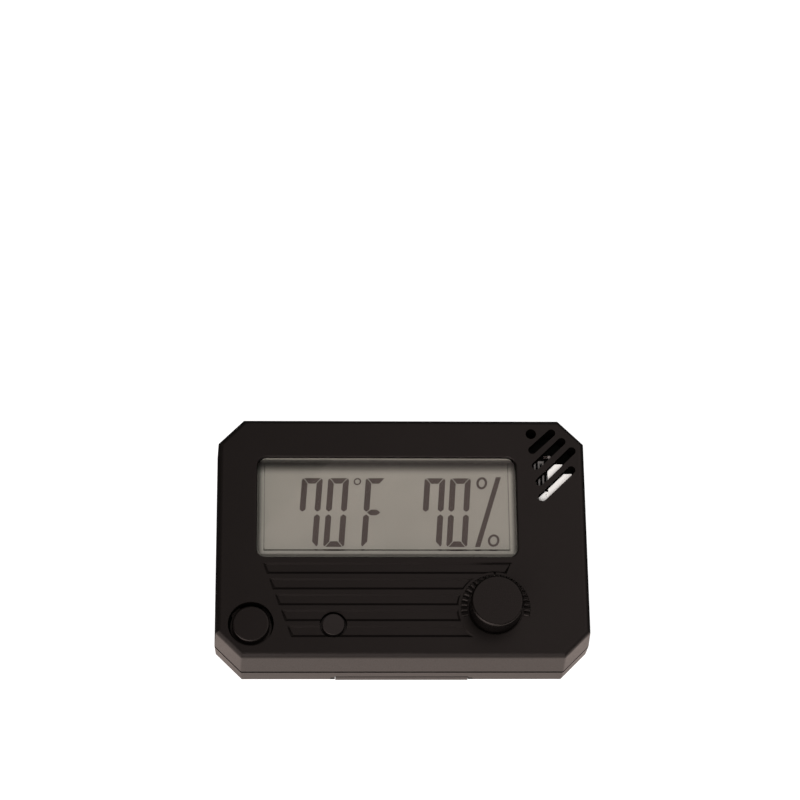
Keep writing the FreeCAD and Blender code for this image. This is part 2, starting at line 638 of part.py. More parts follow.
def humidity_sensor_case():
    """A white hood over the sensing element, with a wider foot and open slits in its sides."""
    (x_low, x_high), (y_low, y_high) = SENSOR_X, SENSOR_Y
    step_x, step_y = SENSOR_STEP
    hood = box((x_low, step_x), (y_low, y_high), (BOARD_TOP, SENSOR_TOP))
    corner = [e for e in hood.Edges if e.BoundBox.ZLength > 1
              and e.BoundBox.YMin > y_high - 0.01 and e.BoundBox.XMax < x_low + 0.01]
    hood = hood.makeFillet(SENSOR_CORNER_R, corner)
    shoulder = box((step_x - JOIN, x_high), (y_low, step_y), (BOARD_TOP, SENSOR_TOP))
    foot = box((SENSOR_FOOT_X, x_high), (y_low, SENSOR_FOOT_TOP), (BOARD_TOP, SENSOR_TOP - 0.2))
    hood = fused(hood, [shoulder, foot])
    w = SENSOR_WALL
    hollow_z = (BOARD_TOP - ABOVE, SENSOR_TOP - w)
    hollow = box((x_low + w, step_x - w), (y_low + w, y_high - w), hollow_z)
    side_hollow = box((x_low + w, x_high - w), (y_low + w, step_y - w), hollow_z)
    slits = [box((x_low - ABOVE, x_high + ABOVE), (y - 0.3, y + 0.3), (10.0, 11.2))
             for y in (11.0, 12.2, 13.4)]
    pit_x, pit_y, pit_r = SENSOR_PIT
    pit = cylinder(pit_x, pit_y, (SENSOR_TOP - 0.8, SENSOR_TOP + ABOVE), pit_r)
    return cut(hood, [hollow, side_hollow, pit] + slits)


def sensor_pins():
    return Part.makeCompound([cylinder(x, y, (BOARD_UNDER - 0.8, 10.2), 0.25)
                              for x, y in pin_positions()])


def thermistor_leads():
    """Two thin wires that rise from the board and bend over to the bead."""
    x, y, z = BEAD
    wires = []
    for side in (-0.15, 0.15):
        foot = Vector(x - 1.1, y + side, BOARD_TOP)
        bend = Vector(x - 1.1, y + side, z)
        up = Part.makeCylinder(LEAD_R, z - BOARD_TOP, foot)
        over = Part.makeCylinder(LEAD_R, 0.85, bend, Vector(1, 0, 0))
        wires.append(fused(up, [over, Part.makeSphere(LEAD_R, bend)]))
    return Part.makeCompound(wires)


# ---- Screws ----
def screw(x, y, z, head_r, shaft_r):
    """A pan-head screw that points up, with a cross recess in its head."""
    head_foot, head_top, tip = z
    head = cylinder(x, y, (head_foot, head_top), head_r)
    head = head.makeFillet(0.35, level_edges(head, head_foot))
    shaft = cylinder(x, y, (head_top - 0.1, tip - shaft_r), shaft_r)
    point = cone(x, y, (tip - shaft_r, tip), shaft_r, shaft_r * 0.35)
    depth = (head_foot - ABOVE, head_foot + 0.45 * (head_top - head_foot))
    arm, half = head_r * 0.6, head_r * 0.12
    recess = [box((x - arm, x + arm), (y - half, y + half), depth),
              box((x - half, x + half), (y - arm, y + arm), depth)]
    return cut(fused(head, [shaft, point]), recess)


def screw_group(places, z, head_r, shaft_r):
    return Part.makeCompound([screw(x, y, z, head_r, shaft_r) for x, y in places])


# ---- Every node ----
save("front_shell", front_shell())
save("rear_shell", rear_shell())
save("battery_door", battery_door())
save("battery_cell", battery_cell())
save("battery_contact_negative", contact_negative())
save("battery_contact_positive", contact_positive())
save("display_lens", display_lens())
save("lens_tape", lens_tape())
save("display_polarizer", glass_sheet(GLASS_Y[0], POLARIZER_Z, POLARIZER_INSET))
save("display_front_glass", glass_sheet(GLASS_LEDGE_Y, FRONT_GLASS_Z))
save("display_rear_glass", glass_sheet(GLASS_Y[0], REAR_GLASS_Z))
save("display_reflector", glass_sheet(GLASS_Y[0], REFLECTOR_Z))
save("display_frame", display_frame())
save("zebra_connector", box(ZEBRA_X, ZEBRA_Y, (BOARD_TOP, FRONT_GLASS_Z[0])))
save("circuit_board", circuit_board())
save("surface_parts", surface_parts())
save("chip_blob", chip_blob())
save("crystal_can", crystal_can())
save("select_button", button_cap(SELECT))
save("select_plunger", plunger(SELECT))
save("select_switch_body", switch_body(SELECT))
save("reset_button", button_cap(RESET))
save("reset_plunger", plunger(RESET))
save("reset_switch_body", switch_body(RESET))
save("calibration_knob", calibration_knob())
save("calibration_shaft", calibration_shaft())
save("potentiometer_body", potentiometer_body())
save("humidity_sensor_case", humidity_sensor_case())
save("humidity_element", box((31.5, 34.5), (7.0, 13.8), (10.2, 10.8)))
save("sensor_pins", sensor_pins())
save("thermistor_bead", Part.makeSphere(BEAD_R, Vector(*BEAD)))
save("thermistor_leads", thermistor_leads())
save("case_screws", screw_group(CASE_BOSSES, CASE_SCREW_Z, CASE_SCREW_HEAD_R, CASE_SCREW_R))
save("board_screws", screw_group(BOARD_BOSSES, (BOARD_UNDER - 0.8, BOARD_UNDER, 11.8),
                                 1.4, BOARD_SCREW_R))
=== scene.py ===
import json
import math

import bpy
from mathutils import Matrix, Vector


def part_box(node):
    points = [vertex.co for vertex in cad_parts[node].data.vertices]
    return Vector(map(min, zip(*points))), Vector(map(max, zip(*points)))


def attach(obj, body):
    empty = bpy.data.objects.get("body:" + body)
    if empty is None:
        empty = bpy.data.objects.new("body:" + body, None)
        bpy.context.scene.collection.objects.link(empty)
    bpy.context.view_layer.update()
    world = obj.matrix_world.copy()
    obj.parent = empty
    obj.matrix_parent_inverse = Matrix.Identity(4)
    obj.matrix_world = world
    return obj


# A pocket thermometer and hygrometer that lies on its back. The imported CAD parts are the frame;
# this script adds the display's characters, gives every surface its material, and sets up the
# floor, the light and the camera. Lengths are in metres, unless a name ends in _MM.

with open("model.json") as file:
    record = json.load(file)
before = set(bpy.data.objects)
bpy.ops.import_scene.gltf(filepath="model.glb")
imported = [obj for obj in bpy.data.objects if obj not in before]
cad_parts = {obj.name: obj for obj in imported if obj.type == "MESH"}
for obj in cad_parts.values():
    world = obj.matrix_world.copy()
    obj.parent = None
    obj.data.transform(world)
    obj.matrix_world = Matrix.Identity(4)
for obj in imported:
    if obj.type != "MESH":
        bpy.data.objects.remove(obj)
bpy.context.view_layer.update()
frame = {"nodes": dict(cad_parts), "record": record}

MM = 0.001
FACE_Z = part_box("reset_button")[1].z          # the small button is flush with the face
FILM_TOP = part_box("display_polarizer")[1].z
CASE_LOW, CASE_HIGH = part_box("front_shell")
CUT_CORNER = 0.0052                           # leg of each cut corner
RIB_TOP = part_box("display_frame")[1].z        # the ribs beside the display end here
REAR_SHELL_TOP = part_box("rear_shell")[1].z

# ---- Display characters, in millimetres, x from the middle of the case ----
DIGIT_W_MM = 4.32
DIGIT_H_MM = 15.1
STROKE_MM = 1.22
SLANT = 0.0725               # sideways lean for each unit of height
BASELINE_Y_MM = -1.72
MITRE_START_MM = 0.45        # the level bars start this far from the digit's side
MITRE_RUN_MM = 1.0           # and their ends lean by this much
MITRE_GAP_MM = 0.18          # gap between a level bar and an upright bar, measured level
WAIST_MM = 7.4               # height at which the upright bars meet
WAIST_GAP_MM = 0.27          # half of the gap there
TIP_MM = 0.5                 # length of the upright bars' points
TIP_FLAT_MM = 0.08           # how far the mitre's outer corner stays inside the digit's end
CUT_SIDE_MM = 0.42           # height of the cut on the digit's outer corner
CORNER_R_MM = 0.13
ROUNDED_SHARE = 0.45         # the most of a side that one rounded corner takes
PERCENT_CORNER_R_MM = 0.1
LETTER_WAIST_X_MM = (0.72, 1.5, 2.75, 3.5)   # the letter's middle bar: tip, flat part, tip
LETTER_WAIST_HALF_MM = 0.62                  # half of that bar's height
LETTER_WAIST_RISE_MM = 0.13                  # how far it lies above the waist
TEMPERATURE_X_MM = (-21.73, -16.28)
UNIT_X_MM = -8.5
HUMIDITY_X_MM = (3.75, 9.06)
DEGREE_MM = (-9.16, 12.62, 0.79, 0.79, 0.30)        # x, y, two radii, stroke
PERCENT_TOP_MM = (16.70, 12.30, 1.13, 1.36, 0.50)
PERCENT_LOW_MM = (18.87, -0.31, 1.20, 1.36, 0.48)
PERCENT_BAR_MM = ((15.52, -1.72), (20.2, 13.67), 1.07)   # foot, head, level width
INK_SINK = 0.00001           # the characters start this far inside the film
INK_RISE = 0.000015          # and stand this far out of it

# ---- Painted shade on the lens, which darkens what lies under it near the window's sides and on the lens's step. Each pair is where a shade starts and ends, in from one edge ----
LENS_HIDDEN_RIM = 0.001                 # width of the lens's flange behind the face
LENS_LEFT_SHADE = (0.0, 0.0014)
LENS_RIGHT_SHADE = (0.0002, 0.0013)
LENS_BOTTOM_SHADE = (0.0006, 0.0009)
LENS_TOP_SHADE = (0.0009, 0.0037)
LENS_TOP_CLEAR = (0.0007, 0.0003)       # the painted shade ends again this near to its top edge
LENS_DARKEST = (0.12, 0.2, 0.2, 0.04)   # where the shades start: left, right, bottom, top
LENS_STEP_FOOT = (0.00044, 0.00042)     # the step round the raised middle, down from the face
LENS_STEP_HEAD = (0.00008, 0.00006)
LENS_LOW_STEP_END = (0.0017, 0.0020)    # the step is darkest below this, up from the bottom
LENS_TOP_STEP = (0.0018, 0.0015)        # and clear above this, down from the top
LENS_STEP_LOW_SHADE = 0.12
LENS_STEP_SIDE_SHADE = 0.5

# ---- Painted shade: the case's plastic reflects nothing on the inside of its slots and holes ----
HOLE_DEPTH = (0.0006, 0.0008)           # down from the face
VENT_DEPTH = (0.00003, 0.0001)          # and the same among the vents
VENT_CORNER = (0.026, 0.0085)           # lower left corner of the vents' part of the face
VENT_BLEND = 0.0002
SIDE_INSET = (0.0013, 0.0015)           # in from the sides
CORNER_INSET = (0.0022, 0.0025)         # in from the cut corners, measured as x plus y
REAR_BLEND = 0.0003                     # up from the rear shell's top
RIB_SHADE_FADE = (0.0015, 0.0004)             # down from the ribs' tops: black with painted shade here, and plain grey here

# ---- Camera ----
CAMERA_AZIMUTH = -5.4463
CAMERA_ELEVATION = 67.4347
CAMERA_ROLL = 5.2166
CAMERA_DISTANCE = 0.556274
CAMERA_TARGET = Vector((-0.000174, 0.030264, FACE_Z))
SENSOR_MM = 36.0
FOCAL_MM = 119.376
CLIP_NEAR, CLIP_FAR = 0.01, 10.0


# ---- Material helpers ----
NOISE_DETAIL = 3.0
NOISE_MIDDLE = (0.3, 0.7)    # most of a noise's values lie between these


def new_material(name):
    material = bpy.data.materials.new(name)
    material.use_nodes = True
    nodes = material.node_tree.nodes
    return material, nodes, material.node_tree.links


def coordinates(nodes):
    """The part's own coordinates, in metres."""
    return nodes.new("ShaderNodeTexCoord").outputs["Object"]


def noise(nodes, links, feature_mm):
    """Noise whose features are about feature_mm across."""
    texture = nodes.new("ShaderNodeTexNoise")
    texture.inputs["Scale"].default_value = 1000.0 / feature_mm
    texture.inputs["Detail"].default_value = NOISE_DETAIL
    links.new(coordinates(nodes), texture.inputs["Vector"])
    return texture.outputs["Fac"]


def remap(nodes, links, value, low, high):
    """Stretches the middle of a noise's range to run from low to high."""
    node = nodes.new("ShaderNodeMapRange")
    node.inputs["From Min"].default_value = NOISE_MIDDLE[0]
    node.inputs["From Max"].default_value = NOISE_MIDDLE[1]
    node.inputs["To Min"].default_value = low
    node.inputs["To Max"].default_value = high
    links.new(value, node.inputs["Value"])
    return node.outputs["Result"]


def stepped(nodes, links, value, start, end, low=0.0, high=1.0):
    """A smooth step of value, from low at start to high at end."""
    node = nodes.new("ShaderNodeMapRange")
    node.interpolation_type = "SMOOTHSTEP"
    node.inputs["From Min"].default_value = start
    node.inputs["From Max"].default_value = end
    node.inputs["To Min"].default_value = low
    node.inputs["To Max"].default_value = high
    links.new(value, node.inputs["Value"])
    return node.outputs["Result"]


def stepped_from(nodes, links, value, edge, direction, span, low=0.0, high=1.0):
    """A smooth step over a span that is measured from an edge, along the axis or against it."""
    start, end = span
    return stepped(nodes, links, value, edge + direction * start, edge + direction * end, low, high)


def combined(nodes, links, operation, first, second):
    """One value worked out from two others."""
    node = nodes.new("ShaderNodeMath")
    node.operation = operation
    links.new(first, node.inputs[0])
    links.new(second, node.inputs[1])
    return node.outputs["Value"]


def magnitude(nodes, links, value):
    """The value without its sign."""
    node = nodes.new("ShaderNodeMath")
    node.operation = "ABSOLUTE"
    links.new(value, node.inputs[0])
    return node.outputs["Value"]


def parts_of(nodes, links, vector):
    """The X, Y and Z of a vector."""
    node = nodes.new("ShaderNodeSeparateXYZ")
    links.new(vector, node.inputs["Vector"])
    return node.outputs["X"], node.outputs["Y"], node.outputs["Z"]


def blend_colours(nodes, links, value, first, second):
    """A colour that runs from first to second as value runs from 0 to 1."""
    mix = nodes.new("ShaderNodeMix")
    mix.data_type = "RGBA"
    mix.inputs["A"].default_value = (*first, 1)
    mix.inputs["B"].default_value = (*second, 1)
    links.new(value, mix.inputs["Factor"])
    return mix.outputs["Result"]


def scaled(colour, factor):
    return tuple(min(1.0, c * factor) for c in colour)


def bump(nodes, links, height, depth_mm):
    """Relief that is depth_mm deep."""
    node = nodes.new("ShaderNodeBump")
    node.inputs["Strength"].default_value = 1.0
    node.inputs["Distance"].default_value = depth_mm * MM
    links.new(height, node.inputs["Height"])
    return node.outputs["Normal"]


def finish_surface(name, colour, roughness, spread=0.12, blotch_mm=9.0, grain_mm=0.22,
                   grain_depth_mm=0.004, roughness_spread=0.05, **sockets):
    """A surface with slow colour variation, and fine grain in its gloss and its relief."""
    material, nodes, links = new_material(name)
    shader = nodes["Principled BSDF"]
    slow = remap(nodes, links, noise(nodes, links, blotch_mm), 0.0, 1.0)
    links.new(blend_colours(nodes, links, slow, scaled(colour, 1 - spread),
                            scaled(colour, 1 + spread)), shader.inputs["Base Color"])
    grain = noise(nodes, links, grain_mm)
    links.new(remap(nodes, links, grain, roughness - roughness_spread,
                    roughness + roughness_spread), shader.inputs["Roughness"])
    links.new(bump(nodes, links, grain, grain_depth_mm), shader.inputs["Normal"])
    for socket, value in sockets.items():
        shader.inputs[socket.replace("_", " ")].default_value = value
    return material


# ---- Materials ----
LENS_TINT = (0.97, 0.97, 0.96)
LENS_TINT_TO_LAMPS = (0.93, 0.93, 0.92)
ACRYLIC_IOR = 1.49
HAZE_MM = 6.0
HAZE_ROUGHNESS = 0.05
OUTSIDE_SPECULAR = 0.5       # the case's Specular IOR Level, which is 0 where shade is painted in its slots and holes
# colour of the painted shade below the ribs' tops
RIB_PAINTED_SHADE = (0.006, 0.006, 0.006)


def lens_painted_shade(nodes, links):
    """Painted shade on the lens: 1 over most of it, and less near its rim and on the small step
    round its raised middle, where it paints in the shade and the dark sides of the window."""
    x, y, z = parts_of(nodes, links, coordinates(nodes))
    low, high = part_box("display_lens")
    rim = LENS_HIDDEN_RIM
    left, right, bottom, top = low.x + rim, high.x - rim, low.y + rim, high.y - rim
    dark_left, dark_right, dark_bottom, dark_top = LENS_DARKEST
    near_left = stepped_from(nodes, links, x, left, 1, LENS_LEFT_SHADE, dark_left)
    near_right = stepped_from(nodes, links, x, right, -1, LENS_RIGHT_SHADE, dark_right)
    near_bottom = stepped_from(nodes, links, y, bottom, 1, LENS_BOTTOM_SHADE, dark_bottom)
    below_top = stepped_from(nodes, links, y, top, -1, LENS_TOP_SHADE, dark_top)
    top_clear = stepped_from(nodes, links, y, top, -1, LENS_TOP_CLEAR)
    near_top = combined(nodes, links, "MAXIMUM", below_top, top_clear)
    below_step = stepped_from(nodes, links, z, FACE_Z, -1, LENS_STEP_FOOT, 1.0, 0.0)
    above_step = stepped_from(nodes, links, z, FACE_Z, -1, LENS_STEP_HEAD)
    off_step = combined(nodes, links, "MAXIMUM", below_step, above_step)
    side_step = stepped_from(nodes, links, y, bottom, 1, LENS_LOW_STEP_END,
                             LENS_STEP_LOW_SHADE, LENS_STEP_SIDE_SHADE)
    top_step = stepped_from(nodes, links, y, top, -1, LENS_TOP_STEP,
                            0.0, 1 - LENS_STEP_SIDE_SHADE)
    step = combined(nodes, links, "ADD", side_step, top_step)
    shade = combined(nodes, links, "MAXIMUM", off_step, step)
    for side in (near_left, near_right, near_bottom, near_top):
        shade = combined(nodes, links, "MULTIPLY", shade, side)
    return shade


def clear_lens():
    """Clear acrylic, darkened by painted shade near its rim and on its step. Lamps shine through it
    unbent, so that what lies under it is lit.
    """
    material, nodes, links = new_material("lens_acrylic")
    shader = nodes["Principled BSDF"]
    painted_shade_colour = blend_colours(nodes, links, lens_painted_shade(nodes, links), (0, 0, 0), LENS_TINT)
    links.new(painted_shade_colour, shader.inputs["Base Color"])
    shader.inputs["Transmission Weight"].default_value = 1.0
    shader.inputs["IOR"].default_value = ACRYLIC_IOR
    haze = noise(nodes, links, HAZE_MM)
    links.new(remap(nodes, links, haze, 0.0, HAZE_ROUGHNESS), shader.inputs["Roughness"])
    open_to_lamps = nodes.new("ShaderNodeBsdfTransparent")
    open_to_lamps.inputs["Color"].default_value = (*LENS_TINT_TO_LAMPS, 1)
    path = nodes.new("ShaderNodeLightPath")
    mix = nodes.new("ShaderNodeMixShader")
    links.new(path.outputs["Is Shadow Ray"], mix.inputs["Fac"])
    links.new(shader.outputs["BSDF"], mix.inputs[1])
    links.new(open_to_lamps.outputs["BSDF"], mix.inputs[2])
    links.new(mix.outputs["Shader"], nodes["Material Output"].inputs["Surface"])
    return material


def case_plastic():
    """Black satin plastic, with painted shade: it reflects nothing down inside its slots and holes.
    """
    material = finish_surface("case_plastic", (0.0022, 0.0018, 0.0016), 0.45)
    nodes, links = material.node_tree.nodes, material.node_tree.links
    x, y, z = parts_of(nodes, links, coordinates(nodes))
    deep = stepped_from(nodes, links, z, FACE_Z, -1, HOLE_DEPTH)
    in_vents = stepped_from(nodes, links, z, FACE_Z, -1, VENT_DEPTH)
    for value, limit in zip((x, y), VENT_CORNER):
        inside = stepped(nodes, links, value, limit, limit + VENT_BLEND)
        in_vents = combined(nodes, links, "MULTIPLY", in_vents, inside)
    deep = combined(nodes, links, "MAXIMUM", deep, in_vents)
    x, y = magnitude(nodes, links, x), magnitude(nodes, links, y)
    corner = combined(nodes, links, "ADD", x, y)
    corner_edge = CASE_HIGH.x + CASE_HIGH.y - CUT_CORNER
    inward = [stepped_from(nodes, links, z, REAR_SHELL_TOP, 1, (0.0, REAR_BLEND)),
              stepped_from(nodes, links, x, CASE_HIGH.x, -1, SIDE_INSET),
              stepped_from(nodes, links, y, CASE_HIGH.y, -1, SIDE_INSET),
              stepped_from(nodes, links, corner, corner_edge, -1, CORNER_INSET)]
    for limit in inward:
        deep = combined(nodes, links, "MULTIPLY", deep, limit)
    # painted shade: the reflections are taken out where deep is 1
    specular = stepped(nodes, links, deep, 0.0, 1.0, OUTSIDE_SPECULAR, 0.0)
    links.new(specular, nodes["Principled BSDF"].inputs["Specular IOR Level"])
    return material


def frame_plastic():
    """Grey moulding, with painted shade that makes it black below the tops of its ribs."""
    material = finish_surface("frame_plastic", (0.12, 0.115, 0.11), 0.45)
    nodes, links = material.node_tree.nodes, material.node_tree.links
    shader = nodes["Principled BSDF"]
    plain = shader.inputs["Base Color"].links[0].from_socket
    height = parts_of(nodes, links, coordinates(nodes))[2]
    unshaded = stepped_from(nodes, links, height, RIB_TOP, -1, RIB_SHADE_FADE)
    mix = nodes.new("ShaderNodeMix")
    mix.data_type = "RGBA"
    mix.inputs["A"].default_value = (*RIB_PAINTED_SHADE, 1)
    links.new(plain, mix.inputs["B"])
    links.new(unshaded, mix.inputs["Factor"])
    links.new(mix.outputs["Result"], shader.inputs["Base Color"])
    return material


MATERIALS = {
    "case_plastic": case_plastic(),
    "button_plastic": finish_surface("button_plastic", (0.0024, 0.0019, 0.0017), 0.38,
                                     grain_depth_mm=0.002),
    "knob_plastic": finish_surface("knob_plastic", (0.0010, 0.0007, 0.0006), 0.3,
                                   grain_depth_mm=0.002, Specular_IOR_Level=0.42),
    "switch_plastic": finish_surface("switch_plastic", (0.03, 0.03, 0.033), 0.5),
    "white_nylon": finish_surface("white_nylon", (0.75, 0.74, 0.70), 0.45),
    "frame_plastic": frame_plastic(),
    "sensor_plastic": finish_surface("sensor_plastic", (0.95, 0.94, 0.91), 0.4, spread=0.03),
    "clear_lens": clear_lens(),
    "display_film": finish_surface("display_film", (0.216, 0.211, 0.188), 0.45, spread=0.04,
                                   grain_mm=0.12, grain_depth_mm=0.001),
    "display_glass": finish_surface("display_glass", (0.55, 0.62, 0.58), 0.1, spread=0.04,
                                    grain_depth_mm=0.0005, roughness_spread=0.03),
    "reflector_film": finish_surface("reflector_film", (0.6, 0.6, 0.57), 0.35, spread=0.05,
                                     Metallic=0.8),
    "black_tape": finish_surface("black_tape", (0.02, 0.02, 0.02), 0.7),
    "contact_rubber": finish_surface("contact_rubber", (0.16, 0.16, 0.17), 0.6, spread=0.5,
                                     blotch_mm=0.6),
    "board_laminate": finish_surface("board_laminate", (0.0015, 0.0018, 0.0015), 0.4, spread=0.25,
                                     blotch_mm=3.0, Specular_IOR_Level=0.1),
    "chip_ceramic": finish_surface("chip_ceramic", (0.35, 0.27, 0.2), 0.35, blotch_mm=1.5),
    "chip_resin": finish_surface("chip_resin", (0.012, 0.012, 0.012), 0.25, grain_mm=1.0),
    "can_metal": finish_surface("can_metal", (0.7, 0.7, 0.7), 0.28, Metallic=1.0),
    "element_ceramic": finish_surface("element_ceramic", (0.8, 0.8, 0.78), 0.6),
    "tinned_wire": finish_surface("tinned_wire", (0.32, 0.31, 0.30), 0.4, Metallic=1.0),
    "bead_glass": finish_surface("bead_glass", (0.23, 0.21, 0.20), 0.12, spread=0.05),
    "cell_steel": finish_surface("cell_steel", (0.72, 0.72, 0.72), 0.25, spread=0.04,
                                 Metallic=1.0),
    "spring_steel": finish_surface("spring_steel", (0.75, 0.73, 0.68), 0.3, Metallic=1.0),
    "screw_steel": finish_surface("screw_steel", (0.45, 0.45, 0.46), 0.35, Metallic=1.0),
}
# The small button is painted a little lighter than the large one, as a painted sheen.
SMALL_BUTTON = finish_surface("button_plastic_painted_sheen", (0.0075, 0.0064, 0.0062), 0.42,
                              grain_depth_mm=0.002)
INK = finish_surface("display_ink", (0.0333, 0.0266, 0.0243), 0.45, spread=0.05, blotch_mm=2.0,
                     grain_depth_mm=0.001)


def dress_cad_nodes():
    """Gives each CAD node the material of its slot in the record."""
    slots = {part["node"]: part["material_slot"] for part in frame["record"]["subparts"]}
    for name, node in frame["nodes"].items():
        node.data.materials.clear()
        node.data.materials.append(MATERIALS[slots[name]])
    frame["nodes"]["reset_button"].data.materials[0] = SMALL_BUTTON


# ---- Display characters ----
def rounded_outline(points, radius, steps=4):
    """The outline with each corner rounded. The points are (x, y) pairs in order."""
    result = []
    count = len(points)
    for i in range(count):
        before, corner, after = (Vector(points[(i + k) % count]) for k in (-1, 0, 1))
        to_before, to_after = before - corner, after - corner
        shorter = min(to_before.length, to_after.length)
        reach = min(radius, ROUNDED_SHARE * shorter)
        start = corner + to_before.normalized() * reach
        end = corner + to_after.normalized() * reach
        for k in range(steps + 1):
            t = k / steps
            result.append(start * (1 - t) ** 2 + corner * 2 * t * (1 - t) + end * t ** 2)
    return result


def upright_bar(on_right, on_top):
    """One of the digit's four upright bars: a point at the waist and a mitre at its other end."""
    end = DIGIT_H_MM if on_top else 0.0
    out = 1.0 if on_top else -1.0
    start = WAIST_MM + out * WAIST_GAP_MM
    mitre_u = MITRE_START_MM - MITRE_GAP_MM
    mitre_drop = (STROKE_MM - mitre_u) * STROKE_MM / MITRE_RUN_MM
    points = [(STROKE_MM / 2, start), (STROKE_MM, start + out * TIP_MM),
              (STROKE_MM, end - out * mitre_drop), (mitre_u, end - out * TIP_FLAT_MM),
              (0.0, end - out * CUT_SIDE_MM), (0.0, start + out * TIP_MM)]
    if on_right:
        points = [(DIGIT_W_MM - u, v) for u, v in points]
    return points


def level_bar(on_top):
    """The digit's top or bottom bar, narrower on its inner side."""
    end = DIGIT_H_MM if on_top else 0.0
    inner = end + (-STROKE_MM if on_top else STROKE_MM)
    lean = MITRE_START_MM + MITRE_RUN_MM
    return [(MITRE_START_MM, end), (DIGIT_W_MM - MITRE_START_MM, end),
            (DIGIT_W_MM - lean, inner), (lean, inner)]


def waist_bar():
    """The short pointed bar in the middle of the letter."""
    half, y = LETTER_WAIST_HALF_MM, WAIST_MM + LETTER_WAIST_RISE_MM
    left_tip, left, right, right_tip = LETTER_WAIST_X_MM
    return [(left_tip, y), (left, y + half), (right, y + half), (right_tip, y),
            (right, y - half), (left, y - half)]


def placed(points, x):
    """An upright outline, leant over and moved to the baseline at x."""
    return [(x + u + SLANT * v, BASELINE_Y_MM + v) for u, v in points]


def solid_from_loops(outer, inner=None):
    """A thin closed solid on the display film, from an outline with an optional hole."""
    z_low, z_high = FILM_TOP - INK_SINK, FILM_TOP + INK_RISE
    vertices, faces = [], []
    count = len(outer)
    for loop in [outer] + ([inner] if inner else []):
        for z in (z_low, z_high):
            vertices += [(x * MM, y * MM, z) for x, y in loop]
    for i in range(count):
        j = (i + 1) % count
        faces.append((i, j, count + j, count + i))
        if inner:
            faces.append((2 * count + j, 2 * count + i, 3 * count + i, 3 * count + j))
            faces.append((count + i, count + j, 3 * count + j, 3 * count + i))
            faces.append((j, i, 2 * count + i, 2 * count + j))
    if not inner:
        faces.append(tuple(range(count, 2 * count)))
        faces.append(tuple(reversed(range(count))))
    return vertices, faces


def signed_area(loop):
    """The area inside a loop of points, positive when they run anticlockwise."""
    return sum(a[0] * b[1] - b[0] * a[1] for a, b in zip(loop, loop[1:] + loop[:1])) / 2


def make_character(name, shapes):
    """One object from several solids. Each shape is an outline, or an outline and its hole."""
    vertices, faces = [], []
    for outer, inner in shapes:
        outer = [tuple(p) for p in outer]
        if signed_area(outer) < 0:
            outer.reverse()
        shape_vertices, shape_faces = solid_from_loops(outer, inner)
        start = len(vertices)
        vertices += shape_vertices
        faces += [tuple(start + i for i in face) for face in shape_faces]
    mesh = bpy.data.meshes.new(name)
    mesh.from_pydata(vertices, [], faces)
    mesh.update()
    mesh.materials.append(INK)
    character = bpy.data.objects.new(name, mesh)
    bpy.context.scene.collection.objects.link(character)
    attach(character, "case_body")


def bars(x, *outlines):
    """The shapes of one digit or letter at x, from its bars."""
    return [(rounded_outline(placed(points, x), CORNER_R_MM), None) for points in outlines]


def oval(x, y, radius_x, radius_y, steps=40):
    """Points round an oval that leans as the digits do."""
    turn = [2 * math.pi * i / steps for i in range(steps)]
    return [(x + radius_x * math.cos(t) + SLANT * radius_y * math.sin(t),
             y + radius_y * math.sin(t)) for t in turn]


def ring(x, y, radius_x, radius_y, stroke):
    """An oval and the smaller oval of its hole."""
    return oval(x, y, radius_x, radius_y), oval(x, y, radius_x - stroke, radius_y - stroke)


def make_display():
    top, bottom, waist = level_bar(True), level_bar(False), waist_bar()
    left_top, right_top = upright_bar(False, True), upright_bar(True, True)
    left_low, right_low = upright_bar(False, False), upright_bar(True, False)
    seven = (top, left_top, right_top, right_low)
    zero = (top, left_top, right_top, left_low, right_low, bottom)
    make_character("temperature_tens", bars(TEMPERATURE_X_MM[0], *seven))
    make_character("temperature_ones", bars(TEMPERATURE_X_MM[1], *zero))
    make_character("degree_mark", [ring(*DEGREE_MM)])
    make_character("temperature_unit", bars(UNIT_X_MM, top, left_top, left_low, waist))
    make_character("humidity_tens", bars(HUMIDITY_X_MM[0], *seven))
    make_character("humidity_ones", bars(HUMIDITY_X_MM[1], *zero))
    (foot_x, foot_y), (head_x, head_y), width = PERCENT_BAR_MM
    bar = [(foot_x - width / 2, foot_y), (foot_x + width / 2, foot_y),
           (head_x + width / 2, head_y), (head_x - width / 2, head_y)]
    slash = (rounded_outline(bar, PERCENT_CORNER_R_MM), None)
    make_character("percent_mark", [ring(*PERCENT_TOP_MM), ring(*PERCENT_LOW_MM), slash])


# ---- Floor, light and camera ----
FLOOR_HALF = 2.0
FLOOR_Z = -0.0001                    # just below the object, so that the two don't coincide
FLOOR_COLOUR = (0.32, 0.32, 0.32)
FLOOR_GLOW = 0.85
FRONT_GLOSS = (1.01, 0.83, 0.75)     # what the case mirrors of the floor in front of it
SIDE_GLOSS = (0.006, 0.005, 0.005)   # and of the floor on its other sides
MIRRORED_TINT = (1.0, 0.81, 0.76)    # colour of the light that the case mirrors
OVERHEAD_LIGHT = (0.03, 0.36)        # its strength overhead, from the left to the right
HORIZON_LIGHT = 0.04                 # near the horizon, as a share of that
FRONT_LIGHT = 2.2                    # and of a broad light in front, on the left
FRONT_LIGHT_AZIMUTH, FRONT_LIGHT_ELEVATION = -32, 34
FRONT_LIGHT_SPREAD = (0.78, 0.97)    # cosines of the angles where it starts and is full
SIDEWAYS_SPAN = (-0.3, 0.35)         # the X of the direction, from the left to the right
HEIGHT_SPAN = (0.2, 0.75)            # and its Z, from near the horizon to overhead
FRONT_FLOOR_EDGE = (0.009, 0.0055)   # the bright floor begins here, in from the case's front
WIDE_FLOOR_EDGE = (-0.004, 0.002)    # and it is brighter still past the case's two ends,
WIDE_FLOOR_STRENGTH = 1.25           # by this much


